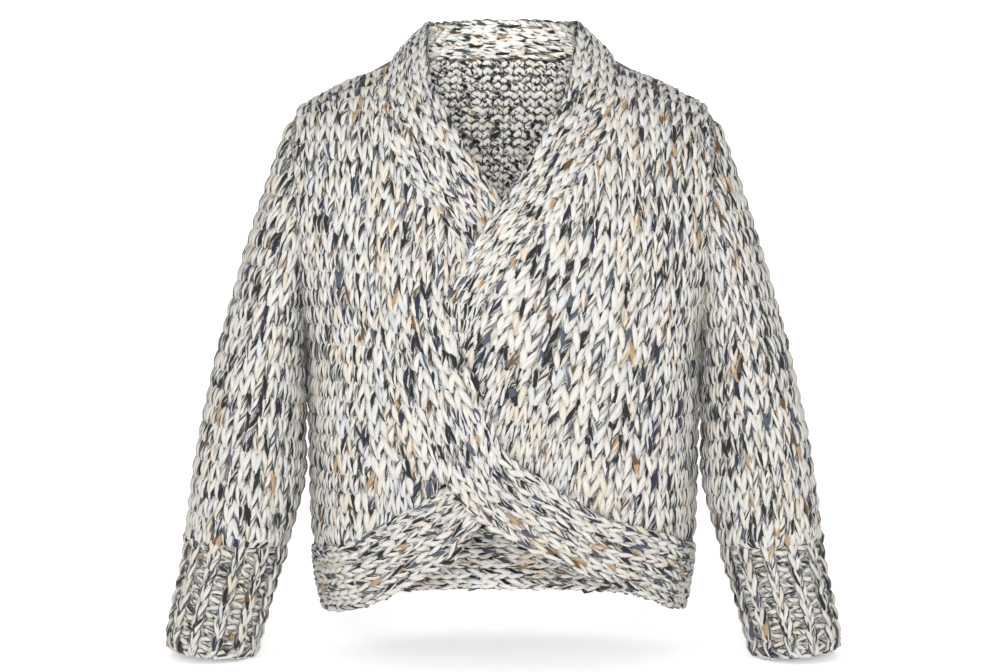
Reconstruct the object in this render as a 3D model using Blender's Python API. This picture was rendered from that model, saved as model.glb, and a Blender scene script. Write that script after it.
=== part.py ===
"""A chunky knitted cardigan with crossed fronts, held open as it is when worn.

Metres, +Z up, front towards -Y. The origin lies on the shoulders, at the middle of the neck base, where the
wearer holds the garment up. Each knitted piece is a closed wall of its own, and pieces stop short of each
other at their seams. Left and right are the wearer's, so the right front is at -X.
"""

import math

import bpy
import numpy as np

# Walls and seams
PANEL_WALL = 0.0040        # one layer of bulky yarn, knitted
BAND_WALL = 0.0070         # the bands are doubled
CUFF_WALL = 0.0042
PANEL_GAP = 0.0002         # between a panel's edge and its seam
TRIM_GAP = 0.0004          # between the seam and a band, sleeve or cuff
BAND_CROWN = 0.0020        # how far a doubled band stands proud of the panels
RIB_HEIGHT = 0.0024        # of a cuff's raised knit ribs
RIBS_ROUND = 12            # ribs on each cuff
RIB_PROFILE = (0.0, 1.0, 1.0, 0.0)
BAND_EDGE_LOSS = 0.0022    # how much thinner a band is at its edges
BACK_HEM_LIFT = 0.0020     # of the back hem band over the torso

# Mesh steps
ARM_STEPS = 12             # along half an armhole, and along the right neckline
SIDE_STEPS = 10            # down a side seam
ACROSS = 10                # across one front
BAND_ACROSS = 3            # across a band
BACK_ACROSS = 16           # across the back, and along the back neck
HEM_STEPS = 14             # along the back hem
SLEEVE_ROUND = 2 * ARM_STEPS
LEFT_NECK_STEPS = 15       # along the left neckline
LEFT_LOWER_STEPS = ARM_STEPS + SIDE_STEPS - LEFT_NECK_STEPS
OVER_STEPS = 13            # along the lower band that crosses over
HIDDEN_STEPS = 2           # along the stretch of the other that it hides
SLEEVE_STEPS = 15          # down a sleeve
CUFF_STEPS = 5             # down a cuff
BAND_SHARES = np.linspace(0, 1, BAND_ACROSS + 1)
ARMHOLE_REACH = 4          # how many of a sleeve's rings keep some of the armhole's shape

# The figure's torso, up to the neck. Half width is at the side seams, depths are from the seams' plane.
# Columns: height, half width, front depth, back depth, squareness.
TORSO = (
    (-0.560, 0.1860, 0.112, 0.112, 2.5),
    (-0.548, 0.1900, 0.114, 0.114, 2.5),
    (-0.509, 0.1965, 0.118, 0.115, 2.5),
    (-0.470, 0.2015, 0.120, 0.115, 2.5),
    (-0.410, 0.2035, 0.122, 0.114, 2.5),
    (-0.330, 0.2045, 0.126, 0.114, 2.5),
    (-0.250, 0.2070, 0.130, 0.118, 2.5),
    (-0.190, 0.2210, 0.130, 0.122, 2.45),
    (-0.115, 0.2360, 0.122, 0.120, 2.4),
    (-0.055, 0.2330, 0.104, 0.108, 2.3),
    (-0.026, 0.2190, 0.090, 0.098, 2.2),
    (-0.010, 0.1930, 0.080, 0.090, 2.15),
    (0.0105, 0.1550, 0.066, 0.080, 2.1),
    (0.0260, 0.1260, 0.057, 0.071, 2.05),
    (0.0350, 0.1110, 0.052, 0.066, 2.0),
    (0.0500, 0.0900, 0.045, 0.060, 2.0),
)
NECK_HEIGHT = 0.033        # of the back neck seam
SHOULDER_TIP = -0.026      # height of the armhole's top
UNDERARM = -0.250
BAND_TOP = -0.477          # of the hem bands, at the side seams
HEM = -0.548

# How far out the armhole seam lies, seen from the front. Columns: height, half width.
ARMHOLE = (
    (-0.250, 0.2070),
    (-0.215, 0.2066),
    (-0.168, 0.2080),
    (-0.115, 0.2110),
    (-0.055, 0.2225),
    (-0.026, 0.2190),
)

# The right front's edges, from the shoulder down. Columns of this and of every edge below: x, height, lift.
# Lift is how far the edge stands out from the torso.
RIGHT_NECKLINE = (
    (-0.1150, 0.033, 0.0),
    (-0.1195, 0.012, 0.0),
    (-0.1230, -0.008, 0.0),
    (-0.1225, -0.035, 0.0),
    (-0.1130, -0.066, 0.0),
    (-0.0980, -0.088, 0.0),
    (-0.0800, -0.114, 0.0),
    (-0.0590, -0.139, 0.0),
    (-0.0420, -0.164, 0.0),
    (-0.0300, -0.183, 0.0),
)
RIGHT_CROSSING = (
    (-0.0300, -0.183, 0.0),
    (-0.0410, -0.199, 0.0),
    (-0.0620, -0.218, 0.0030),
    (-0.0530, -0.244, 0.0065),
    (-0.0445, -0.269, 0.0075),
    (-0.0290, -0.295, 0.0080),
    (-0.0163, -0.320, 0.0085),
)
UNDER_TOP = (
    (-0.0563, -0.399, 0.0085),
    (-0.0760, -0.411, 0.0030),
    (-0.0956, -0.4235, 0.0005),
    (-0.1270, -0.4440, 0.0),
    (-0.1545, -0.4605, 0.0),
    (-0.1850, -0.4725, 0.0),
    (-0.2010, -0.4770, 0.0),
)

# The left front, which crosses over the right one at the bust and runs under it below the waist.
LEFT_NECKLINE = (
    (0.1150, 0.033, 0.0),
    (0.1200, 0.012, 0.0),
    (0.1225, -0.008, 0.0),
    (0.1160, -0.032, 0.0005),
    (0.0970, -0.068, 0.0020),
    (0.0750, -0.100, 0.0040),
    (0.0440, -0.140, 0.0070),
    (0.0143, -0.178, 0.0070),
    (-0.0120, -0.215, 0.0040),
    (-0.0430, -0.275, 0.0),
)
LEFT_UNDERLAP = (
    (-0.0430, -0.275, 0.0),
    (-0.0400, -0.298, 0.0),
    (-0.0300, -0.320, 0.0),
    (-0.0190, -0.343, 0.0),
    (-0.0100, -0.372, 0.0),
)
LEFT_FOOT = (
    (-0.0100, -0.372, 0.0),
    (0.0230, -0.397, 0.0),
    (0.0580, -0.421, 0.0),
    (0.0850, -0.431, 0.0),
    (0.1060, -0.4330, 0.0),
    (0.1210, -0.4380, 0.0),
    (0.1590, -0.4507, 0.0),
    (0.1850, -0.4637, 0.0),
    (0.2010, -0.4770, 0.0),
)

# The neck band's free edge, for each place along the neckline. Columns: x, y, height.
RIGHT_FREE = (
    (-0.0775, 0.000, 0.0690),
    (-0.0810, -0.024, 0.0530),
    (-0.0788, -0.049, 0.0270),
    (-0.0715, -0.074, 0.0010),
    (-0.0605, -0.092, -0.0210),
    (-0.0462, -0.106, -0.0450),
    (-0.0341, -0.1165, -0.0720),
    (-0.0172, -0.1235, -0.0930),
    (-0.0054, -0.1255, -0.1100),
    (0.0060, -0.1265, -0.1260),
    (0.0130, -0.1270, -0.1420),
)
BACK_FREE = (
    (-0.0775, 0.000, 0.0690),
    (-0.0690, 0.030, 0.0710),
    (-0.0400, 0.054, 0.0750),
    (0.0000, 0.062, 0.0765),
    (0.0400, 0.054, 0.0750),
    (0.0690, 0.030, 0.0710),
    (0.0765, 0.000, 0.0690),
)
LEFT_FREE = (
    (0.0765, 0.000, 0.0690),
    (0.0765, -0.024, 0.0530),
    (0.0715, -0.053, 0.0270),
    (0.0648, -0.079, -0.0010),
    (0.0523, -0.1000, -0.0300),
    (0.0342, -0.1180, -0.0610),
    (0.0232, -0.1270, -0.0820),
    (0.0064, -0.1345, -0.1070),
    (-0.0113, -0.1385, -0.1300),
    (-0.0329, -0.1410, -0.1640),
    (-0.0480, -0.1400, -0.1960),
    (-0.0605, -0.1370, -0.2160),
)

# The lower bands' edges on the torso.
OVER_TOP = (
    (-0.0163, -0.320, 0.0085),
    (0.0005, -0.365, 0.0085),
    (0.0320, -0.387, 0.0085),
    (0.0690, -0.413, 0.0085),
    (0.0980, -0.431, 0.0080),
    (0.1210, -0.4395, 0.0050),
    (0.1590, -0.4520, 0.0020),
    (0.1850, -0.4650, 0.0020),
    (0.2010, -0.4770, 0.0020),
)
OVER_FOOT = (
    (-0.0563, -0.399, 0.0085),
    (-0.0253, -0.4345, 0.0085),
    (0.0175, -0.4610, 0.0085),
    (0.0540, -0.4770, 0.0080),
    (0.0836, -0.4940, 0.0060),
    (0.1140, -0.5070, 0.0040),
    (0.1600, -0.5260, 0.0020),
    (0.1900, -0.5480, 0.0020),
)
UNDER_FOOT = (
    (0.0020, -0.4250, 0.0),
    (-0.0254, -0.4400, 0.0),
    (-0.0370, -0.4600, 0.0),
    (-0.0485, -0.4770, 0.0005),
    (-0.0737, -0.4880, 0.0010),
    (-0.1042, -0.5095, 0.0015),
    (-0.1374, -0.5276, 0.0020),
    (-0.1650, -0.5370, 0.0020),
    (-0.1900, -0.5480, 0.0020),
)
UNDER_HIDDEN = (
    (-0.0250, -0.3880, 0.0),
    (-0.0563, -0.3990, 0.0),
)

# A sleeve's sections from the armhole down, each across from its outer to its inner side.
# Columns of this and of the cuff's: outer x, outer height, inner x, inner height, half depth, middle's y.
SLEEVE = (
    (0.2190, -0.0260, 0.2070, -0.2500, 0.0660, 0.000),
    (0.2290, -0.0530, 0.2092, -0.2640, 0.0700, 0.000),
    (0.2445, -0.0950, 0.2086, -0.2800, 0.0730, -0.001),
    (0.2620, -0.1470, 0.2080, -0.3000, 0.0720, -0.002),
    (0.2810, -0.2100, 0.2076, -0.3240, 0.0695, -0.004),
    (0.2980, -0.2730, 0.2073, -0.3520, 0.0660, -0.007),
    (0.3085, -0.3180, 0.2072, -0.3760, 0.0630, -0.010),
    (0.3180, -0.3650, 0.2082, -0.4020, 0.0600, -0.014),
    (0.3250, -0.4080, 0.2130, -0.4280, 0.0570, -0.017),
    (0.3295, -0.4450, 0.2210, -0.4560, 0.0530, -0.020),
    (0.3310, -0.4640, 0.2262, -0.4730, 0.0505, -0.021),
)
CUFF = (
    (0.3310, -0.4640, 0.2262, -0.4730, 0.0480, -0.021),
    (0.3325, -0.4900, 0.2340, -0.4980, 0.0465, -0.023),
    (0.3400, -0.5200, 0.2435, -0.5280, 0.0460, -0.025),
    (0.3475, -0.5530, 0.2530, -0.5620, 0.0460, -0.027),
    (0.3500, -0.5760, 0.2590, -0.5860, 0.0460, -0.029),
)

# Soft creases of a sleeve. Columns: how far down the sleeve the middle lies, how far round it, how far
# round the crease reaches, how wide it is down the sleeve, all as shares, and its depth in metres.
CREASES = (
    (0.52, 0.62, 0.30, 0.050, 0.0030),
    (0.60, 0.50, 0.26, 0.045, 0.0025),
    (0.68, 0.70, 0.34, 0.045, 0.0030),
    (0.30, 0.36, 0.24, 0.060, 0.0020),
    (0.42, 0.92, 0.22, 0.055, 0.0020),
)

WOOL = (0.50, 0.48, 0.44)
ROUGHNESS = 0.9


def clear_scene():
    """Removes what a new file holds."""
    for thing in list(bpy.data.objects):
        bpy.data.objects.remove(thing, do_unlink=True)


def smooth_path(rows, steps):
    """A curve through the rows, cut into equal steps along its length."""
    rows = np.array(rows, float)
    padded = np.vstack([2 * rows[0] - rows[1], rows, 2 * rows[-1] - rows[-2]])
    fine = []
    for i in range(len(rows) - 1):
        before, start, end, after = padded[i:i + 4]
        for t in np.linspace(0, 1, 24, endpoint=False):
            fine.append(0.5 * (2 * start + (end - before) * t
                               + (2 * before - 5 * start + 4 * end - after) * t ** 2
                               + (3 * start - before - 3 * end + after) * t ** 3))
    fine = np.array(fine + [rows[-1]])
    along = np.concatenate([[0], np.cumsum(np.linalg.norm(np.diff(fine, axis=0), axis=1))])
    wanted = np.linspace(0, along[-1], steps + 1)
    return np.stack([np.interp(wanted, along, column) for column in fine.T], 1)


def unit(vectors):
    """The same directions with a length of one."""
    return vectors / np.linalg.norm(vectors, axis=-1, keepdims=True)


TORSO_PATH = smooth_path(TORSO, 400)
ARMHOLE_PATH = smooth_path(ARMHOLE, 100)


def section(height):
    """Half width, front depth, back depth and squareness of the torso at this height."""
    return [float(np.interp(height, TORSO_PATH[:, 0], column)) for column in TORSO_PATH.T[1:]]


def on_torso(turn, height, lift=0.0):
    """A place on the garment. Turn is 0 at the centre front and 90 degrees at the left side."""
    half_width, front, back, square = section(height)
    sine, cosine = math.sin(math.radians(turn)), math.cos(math.radians(turn))
    depth = front if cosine > 0 else back
    x = half_width * math.copysign(abs(sine) ** (2 / square), sine)
    y = -depth * math.copysign(abs(cosine) ** (2 / square), cosine)
    place = np.array([x, y, height])
    return place + lift * torso_normal(place)


def torso_normal(place):
    """The direction straight out of the torso at a place on it."""
    x, y, height = place

    def level(at):
        half_width, front, back, square = section(at)
        return (abs(x) / half_width) ** square + (abs(y) / (front if y < 0 else back)) ** square

    half_width, front, back, square = section(height)
    depth = front if y < 0 else back
    rise = 0.002
    return unit(np.array([
        square * (abs(x) / half_width) ** (square - 1) / half_width * math.copysign(1, x),
        square * (abs(y) / depth) ** (square - 1) / depth * math.copysign(1, y),
        (level(height + rise) - level(height - rise)) / (2 * rise),
    ]))


def turn_at(x, height):
    """The turn on the front of the torso at which x lies, at this height."""
    half_width, _, _, square = section(height)
    share = min(1.0, abs(x) / half_width)
    return math.copysign(math.degrees(math.asin(share ** (square / 2))), x)


def edge(rows, steps):
    """An edge's points as turn, height and lift, from its x, height and lift."""
    return np.array([(turn_at(x, height), height, lift) for x, height, lift in smooth_path(rows, steps)])


def armhole_edge(front=True):
    """The armhole's points on the left side, from the shoulder's tip to the underarm."""
    middle, reach = (SHOULDER_TIP + UNDERARM) / 2, (SHOULDER_TIP - UNDERARM) / 2
    points = []
    for step in range(ARM_STEPS + 1):
        height = middle + reach * math.cos(math.pi * step / ARM_STEPS)
        x = float(np.interp(height, ARMHOLE_PATH[:, 0], ARMHOLE_PATH[:, 1]))
        turn = 90.0 if step in (0, ARM_STEPS) else turn_at(x, height)
        points.append((turn if front else 180 - turn, height, 0.0))
    return np.array(points)


def outer_edge(front=True):
    """The left side from the shoulder's tip down the armhole and the side seam to the hem band."""
    seam = [(90.0, height, 0.0) for height in np.linspace(UNDERARM, BAND_TOP, SIDE_STEPS + 1)[1:]]
    return np.vstack([armhole_edge(front), seam])


def shoulder_edge():
    """The left shoulder seam from the neck to the tip, in steps of equal width."""
    heights = np.linspace(NECK_HEIGHT, SHOULDER_TIP, 60)
    widths = [section(height)[0] for height in heights]
    wanted = np.linspace(widths[0], widths[-1], ACROSS + 1)
    return np.array([(90.0, float(np.interp(x, widths, heights)), 0.0) for x in wanted])


def mirrored(points):
    """Turn, height and lift points on the other side of the centre front."""
    return points * np.array([-1, 1, 1])


def filled(top, foot, inner, outer):
    """A grid of points between four edges. Top and foot run from inner to outer."""
    v = np.linspace(0, 1, len(inner))[:, None, None]
    u = np.linspace(0, 1, len(top))[None, :, None]
    across = (1 - v) * top[None] + v * foot[None]
    down = (1 - u) * inner[:, None] + u * outer[:, None]
    corners = (1 - u) * ((1 - v) * top[0] + v * foot[0]) + u * ((1 - v) * top[-1] + v * foot[-1])
    return across + down - corners


def pulled_in(grid, sides=("first row", "last row", "first column", "last column"), gap=PANEL_GAP):
    """The grid with these sides moved back from their seams by this piece's share of the gap."""
    rims = {
        "first row": (np.s_[0], np.s_[1]),
        "last row": (np.s_[-1], np.s_[-2]),
        "first column": (np.s_[:, 0], np.s_[:, 1]),
        "last column": (np.s_[:, -1], np.s_[:, -2]),
    }
    grid = grid.copy()
    for side in sides:
        rim, within = rims[side]
        grid[rim] += unit(grid[within] - grid[rim]) * gap
    return grid


def grid_normals(grid, closed=False):
    """The direction out of each point of a grid, where rows crossed with columns point out."""
    along_columns = np.roll(grid, -1, axis=1) - np.roll(grid, 1, axis=1) if closed else np.gradient(grid, axis=1)
    return unit(np.cross(np.gradient(grid, axis=0), along_columns))


def knitted_wall(name, outside, inside, closed=False):
    """A closed wall between two grids of points, which is a tube where its columns go all the way round."""
    rows, columns = outside.shape[:2]
    spans = columns if closed else columns - 1
    count = rows * columns
    faces, rim = [], []
    for i in range(rows - 1):
        for j in range(spans):
            k = (j + 1) % columns
            corners = (i * columns + j, (i + 1) * columns + j, (i + 1) * columns + k, i * columns + k)
            faces.append(corners)
            faces.append(tuple(count + corner for corner in reversed(corners)))
    for j in range(spans):
        k = (j + 1) % columns
        rim.append((j, k))
        rim.append(((rows - 1) * columns + k, (rows - 1) * columns + j))
    for i in range(0 if closed else rows - 1):
        rim.append(((i + 1) * columns, i * columns))
        rim.append(((i + 1) * columns - 1, (i + 2) * columns - 1))
    points = np.vstack([outside.reshape(-1, 3), inside.reshape(-1, 3)])
    for a, b in rim:
        # Both pieces at a twisted seam are split along the same diagonal, so that they can't cross.
        if points[a][2] > points[b][2]:
            faces += [(a, b, count + b), (a, count + b, count + a)]
        else:
            faces += [(a, b, count + a), (b, count + b, count + a)]
    mesh = bpy.data.meshes.new(name)
    mesh.from_pydata([tuple(point) for point in points], [], faces)
    mesh.update()
    yarn = bpy.data.materials.new(name + "_yarn")
    yarn.use_nodes = True
    shader = yarn.node_tree.nodes["Principled BSDF"]
    shader.inputs["Base Color"].default_value = (*WOOL, 1.0)
    shader.inputs["Roughness"].default_value = ROUGHNESS
    shader.inputs["Metallic"].default_value = 0.0
    mesh.materials.append(yarn)
    mesh.shade_smooth()
    mesh.set_sharp_from_angle(angle=math.radians(50))
    garment.objects.link(bpy.data.objects.new(name, mesh))


def torso_places(grid):
    """Places and outward directions for a grid of turn, height and lift."""
    base = np.array([[on_torso(turn, height) for turn, height, _ in row] for row in grid])
    normals = np.array([[torso_normal(place) for place in row] for row in base])
    return base + grid[..., 2:] * normals, normals


def sleeve_rings(table, steps, round_count):
    """Rings down a left sleeve or cuff. Each starts at the outer side and goes by the front."""
    angles = np.linspace(0, 2 * math.pi, round_count, endpoint=False)
    rings = []
    for outer_x, outer_z, inner_x, inner_z, half_depth, centre_y in smooth_path(table, steps):
        outer, inner = np.array([outer_x, centre_y, outer_z]), np.array([inner_x, centre_y, inner_z])
        middle, reach = (outer + inner) / 2, (outer - inner) / 2
        forward = np.array([0.0, -half_depth, 0.0])
        rings.append([middle + reach * math.cos(a) + forward * math.sin(a) for a in angles])
    return np.array(rings)


def left_sleeve_rings():
    """The left sleeve's outer points, joined to the armhole's own shape, with its soft creases."""
    rings = sleeve_rings(SLEEVE, SLEEVE_STEPS, SLEEVE_ROUND)
    hole = [on_torso(turn, height) for turn, height, _ in armhole_edge()]
    hole += [on_torso(turn, height) for turn, height, _ in armhole_edge(front=False)[-2:0:-1]]
    change = np.array(hole) - rings[0]
    for ring in range(ARMHOLE_REACH):
        rings[ring] += change * (1 - ring / ARMHOLE_REACH)
    down = np.linspace(0, 1, len(rings))[:, None]
    around = np.linspace(0, 1, SLEEVE_ROUND, endpoint=False)[None, :]
    sink = np.zeros((len(rings), SLEEVE_ROUND))
    for down_share, round_share, length, width, depth in CREASES:
        apart = np.abs((around - round_share + 0.5) % 1 - 0.5)
        window = np.cos(np.pi * np.clip(apart / length, 0, 0.5)) ** 2
        sink += depth * window * np.exp(-((down - down_share) / width) ** 2)
    return rings + grid_normals(rings, closed=True) * sink[..., None]


def seam_directions(rings):
    """The direction in which the walls meet along the left armhole, halfway between torso and sleeve."""
    sleeve = -grid_normals(rings, closed=True)[0]
    torso = np.array([torso_normal(place) for place in rings[0]])
    return unit(sleeve + torso)


def fronts(seam):
    """The two crossed fronts. The right one ends partly at the start of the band that crosses over."""
    over_start = np.linspace(edge(OVER_TOP, 1)[0], edge(OVER_FOOT, 1)[0], BAND_ACROSS + 1)
    left = filled(
        shoulder_edge(),
        edge(LEFT_FOOT, ACROSS),
        np.vstack([edge(LEFT_NECKLINE, LEFT_NECK_STEPS), edge(LEFT_UNDERLAP, LEFT_LOWER_STEPS)[1:]]),
        outer_edge(),
    )
    right = filled(
        mirrored(shoulder_edge()),
        np.vstack([over_start, edge(UNDER_TOP, ACROSS - BAND_ACROSS)[1:]]),
        np.vstack([edge(RIGHT_NECKLINE, ARM_STEPS), edge(RIGHT_CROSSING, SIDE_STEPS)[1:]]),
        mirrored(outer_edge()),
    )
    for name, grid, flip in (("left_front", left, 1), ("right_front", right, -1)):
        places, normals = torso_places(grid)
        normals[:ARM_STEPS + 1, -1] = seam[:ARM_STEPS + 1] * np.array([flip, 1, 1])
        outside = pulled_in(places)
        inside = outside - PANEL_WALL * normals
        knitted_wall(name, outside[:, ::flip], inside[:, ::flip])


def back(seam):
    """The back, from side to side, whose edges run down the shoulders, the armholes and the side seams."""
    shoulder = shoulder_edge()[:-1]
    near = np.vstack([shoulder, outer_edge(front=False)])
    far = mirrored(near) + np.array([360, 0, 0])
    shares = np.linspace(0, 1, BACK_ACROSS + 1)[None, :, None]
    places, normals = torso_places(near[:, None] * (1 - shares) + far[:, None] * shares)
    behind = np.roll(seam[::-1], 1, axis=0)[:ARM_STEPS + 1]
    armhole = np.s_[len(shoulder):len(shoulder) + ARM_STEPS + 1]
    normals[armhole, 0] = behind
    normals[armhole, -1] = behind * np.array([-1, 1, 1])
    outside = pulled_in(places)
    knitted_wall("back", outside, outside - PANEL_WALL * normals)


def sleeves(rings, seam):
    """Both sleeves, which start at the armholes, and both ribbed cuffs."""
    normals = -grid_normals(rings, closed=True)
    normals[0] = seam
    outside = pulled_in(rings, ("first row", "last row"), TRIM_GAP)
    outside[0, :, 0] += PANEL_GAP
    inside = outside - PANEL_WALL * normals

    round_count = RIBS_ROUND * len(RIB_PROFILE)
    plain = sleeve_rings(CUFF, CUFF_STEPS, round_count)
    ways = -grid_normals(plain, closed=True)
    plain = pulled_in(plain, ("first row",))
    ribs = np.tile(RIB_PROFILE, RIBS_ROUND)[None, :, None] * RIB_HEIGHT
    ribbed, lining_side = plain + ways * ribs, plain - ways * CUFF_WALL
    for side, sign in (("left", 1), ("right", -1)):
        flip = np.array([sign, 1, 1])
        knitted_wall(side + "_sleeve", (outside * flip)[:, ::-sign], (inside * flip)[:, ::-sign], closed=True)
        knitted_wall(side + "_cuff", (ribbed * flip)[:, ::-sign], (lining_side * flip)[:, ::-sign], closed=True)


def band_wall(name, grid, normals, flip=1):
    """A doubled band. The grid's rows go along it and its columns across, and it thins towards its edges."""
    across = np.linspace(-1, 1, grid.shape[1])
    wall = BAND_WALL - BAND_EDGE_LOSS * np.abs(across) ** 3
    outside = pulled_in(grid, gap=TRIM_GAP)
    inside = outside - normals * wall[None, :, None]
    knitted_wall(name, outside[:, ::flip], inside[:, ::flip])


def crowned(start, end, way, share):
    """A place across a band, which stands proudest along its middle."""
    return start + (end - start) * share + way * BAND_CROWN * math.sin(math.pi * share)


def neck_bands():
    """The doubled band round the neck, in its three stretches, from the right front to the left front."""
    right_join = smooth_path(RIGHT_NECKLINE, ARM_STEPS)[::-1]
    left_join = smooth_path(LEFT_NECKLINE, LEFT_NECK_STEPS)
    back_turns = np.linspace(270, 90, BACK_ACROSS + 1)[1:-1]
    joined = [on_torso(turn_at(x, height), height, lift) for x, height, lift in right_join]
    joined += [on_torso(turn, NECK_HEIGHT) for turn in back_turns]
    joined += [on_torso(turn_at(x, height), height, lift) for x, height, lift in left_join]
    free = np.vstack([
        smooth_path(RIGHT_FREE, ARM_STEPS)[::-1],
        smooth_path(BACK_FREE, BACK_ACROSS)[1:-1],
        smooth_path(LEFT_FREE, LEFT_NECK_STEPS),
    ])
    flat = np.stack([np.array(joined), free], 1)
    own = -grid_normals(flat)
    grid, normals = [], []
    for (start, end), ways in zip(flat, own):
        way = unit(ways[0] + ways[1])
        grid.append([crowned(start, end, way, share) for share in BAND_SHARES])
        normals.append([unit((1 - share) * torso_normal(start) + share * way) for share in BAND_SHARES])
    grid, normals = np.array(grid), np.array(normals)
    ends = (0, ARM_STEPS, ARM_STEPS + BACK_ACROSS, len(grid) - 1)
    for name, start, end in zip(("right_front_band", "back_neck_band", "left_front_band"), ends, ends[1:]):
        band_wall(name, grid[start:end + 1], normals[start:end + 1], flip=-1)


def lower_band(name, top, foot, flip):
    """A doubled band that lies on the torso, between two edges of turn, height and lift."""
    grid, normals = [], []
    for upper, lower in zip(top, foot):
        row, ways = [], []
        for share in BAND_SHARES:
            turn, height, lift = upper + (lower - upper) * share
            base = on_torso(turn, height)
            way = torso_normal(base)
            row.append(base + way * (lift + BAND_CROWN * math.sin(math.pi * share)))
            ways.append(way)
        grid.append(row)
        normals.append(ways)
    band_wall(name, np.array(grid), np.array(normals), flip)


def lower_bands():
    """The band that crosses over, the one that runs under it, and the one along the back hem."""
    lower_band("over_hem_band", edge(OVER_TOP, OVER_STEPS), edge(OVER_FOOT, OVER_STEPS), -1)
    under_top = np.vstack([edge(UNDER_HIDDEN, HIDDEN_STEPS), edge(UNDER_TOP, ACROSS - BAND_ACROSS)[1:]])
    under_top[:, 2] = 0.0
    lower_band("under_hem_band", under_top, edge(UNDER_FOOT, len(under_top) - 1), 1)
    turns = np.linspace(90, 270, HEM_STEPS + 1)
    back_top, back_foot = ([(turn, height, BACK_HEM_LIFT) for turn in turns] for height in (BAND_TOP, HEM))
    lower_band("back_hem_band", np.array(back_top), np.array(back_foot), -1)


clear_scene()
garment = bpy.data.collections.new("cardigan")
bpy.context.scene.collection.children.link(garment)
sleeve_grid = left_sleeve_rings()
armhole_seam = seam_directions(sleeve_grid)
fronts(armhole_seam)
back(armhole_seam)
sleeves(sleeve_grid, armhole_seam)
neck_bands()
lower_bands()
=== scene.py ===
import math

import bmesh
import bpy
import numpy as np
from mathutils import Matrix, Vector
from mathutils.bvhtree import BVHTree


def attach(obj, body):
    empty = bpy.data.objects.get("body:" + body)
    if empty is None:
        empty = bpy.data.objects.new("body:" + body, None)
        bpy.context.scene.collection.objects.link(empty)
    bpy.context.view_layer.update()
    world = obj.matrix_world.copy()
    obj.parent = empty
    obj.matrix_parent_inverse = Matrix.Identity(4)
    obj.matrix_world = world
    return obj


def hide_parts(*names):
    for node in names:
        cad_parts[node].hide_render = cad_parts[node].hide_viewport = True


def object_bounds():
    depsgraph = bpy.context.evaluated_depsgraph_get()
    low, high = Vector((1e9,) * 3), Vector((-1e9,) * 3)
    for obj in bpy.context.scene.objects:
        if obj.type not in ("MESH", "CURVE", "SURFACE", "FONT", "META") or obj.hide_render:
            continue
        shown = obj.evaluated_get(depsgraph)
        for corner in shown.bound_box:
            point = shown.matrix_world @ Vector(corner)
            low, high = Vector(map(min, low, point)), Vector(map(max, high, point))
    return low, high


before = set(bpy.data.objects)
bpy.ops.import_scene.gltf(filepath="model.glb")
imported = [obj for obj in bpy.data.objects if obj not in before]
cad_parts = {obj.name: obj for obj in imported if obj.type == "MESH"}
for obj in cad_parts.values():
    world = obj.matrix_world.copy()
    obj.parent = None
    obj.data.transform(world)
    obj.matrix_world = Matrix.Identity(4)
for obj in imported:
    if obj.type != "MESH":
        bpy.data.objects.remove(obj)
cad_low, cad_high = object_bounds()


# The photographer's sweep: a white paper floor just under the cuffs, which turns up into a white wall
# behind the garment, and the camera straight in front of it at the height of the chest.

FLOOR_BELOW_CUFFS = 0.004
SWEEP_BACK = 1.5
SWEEP_RADIUS = 0.9
SWEEP_HALF_WIDTH = 4.0
SWEEP_FRONT = -3.2
SWEEP_TOP = 3.0
PAPER = (0.93, 0.93, 0.93, 1.0)
PAPER_GLOW = 0.36           # the paper glows a little, so that it comes out white

floor_height = cad_low.z - FLOOR_BELOW_CUFFS
profile = [(SWEEP_FRONT, floor_height)]
for step in range(13):
    angle = math.radians(90 * step / 12)
    profile.append((SWEEP_BACK + SWEEP_RADIUS * math.sin(angle),
                    floor_height + SWEEP_RADIUS * (1 - math.cos(angle))))
profile.append((SWEEP_BACK + SWEEP_RADIUS, SWEEP_TOP))
paper_mesh = bpy.data.meshes.new("paper_sweep")
paper_points = [(x, y, z) for y, z in profile for x in (-SWEEP_HALF_WIDTH, SWEEP_HALF_WIDTH)]
paper_faces = [(2 * i, 2 * i + 1, 2 * i + 3, 2 * i + 2) for i in range(len(profile) - 1)]
paper_mesh.from_pydata(paper_points, [], paper_faces)
paper_mesh.shade_smooth()
paper = bpy.data.objects.new("paper_sweep", paper_mesh)
bpy.context.scene.collection.objects.link(paper)
paper_finish = bpy.data.materials.new("white_paper")
paper_finish.use_nodes = True
paper_shader = paper_finish.node_tree.nodes["Principled BSDF"]
paper_shader.inputs["Base Color"].default_value = PAPER
paper_shader.inputs["Roughness"].default_value = 0.95
paper_shader.inputs["Specular IOR Level"].default_value = 0.1
paper_shader.inputs["Emission Color"].default_value = (1, 1, 1, 1)
paper_shader.inputs["Emission Strength"].default_value = PAPER_GLOW
paper_mesh.materials.append(paper_finish)

CAMERA_PLACE = (0.0005, -2.2, -0.114)
CAMERA_TILT = 86.25
LENS = 75.0
lens = bpy.data.cameras.new("camera")
lens.lens = LENS
lens.sensor_width = 36.0
camera = bpy.data.objects.new("camera", lens)
camera.location = CAMERA_PLACE
camera.rotation_euler = (math.radians(CAMERA_TILT), 0, 0)
bpy.context.scene.collection.objects.link(camera)
bpy.context.scene.camera = camera

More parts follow.
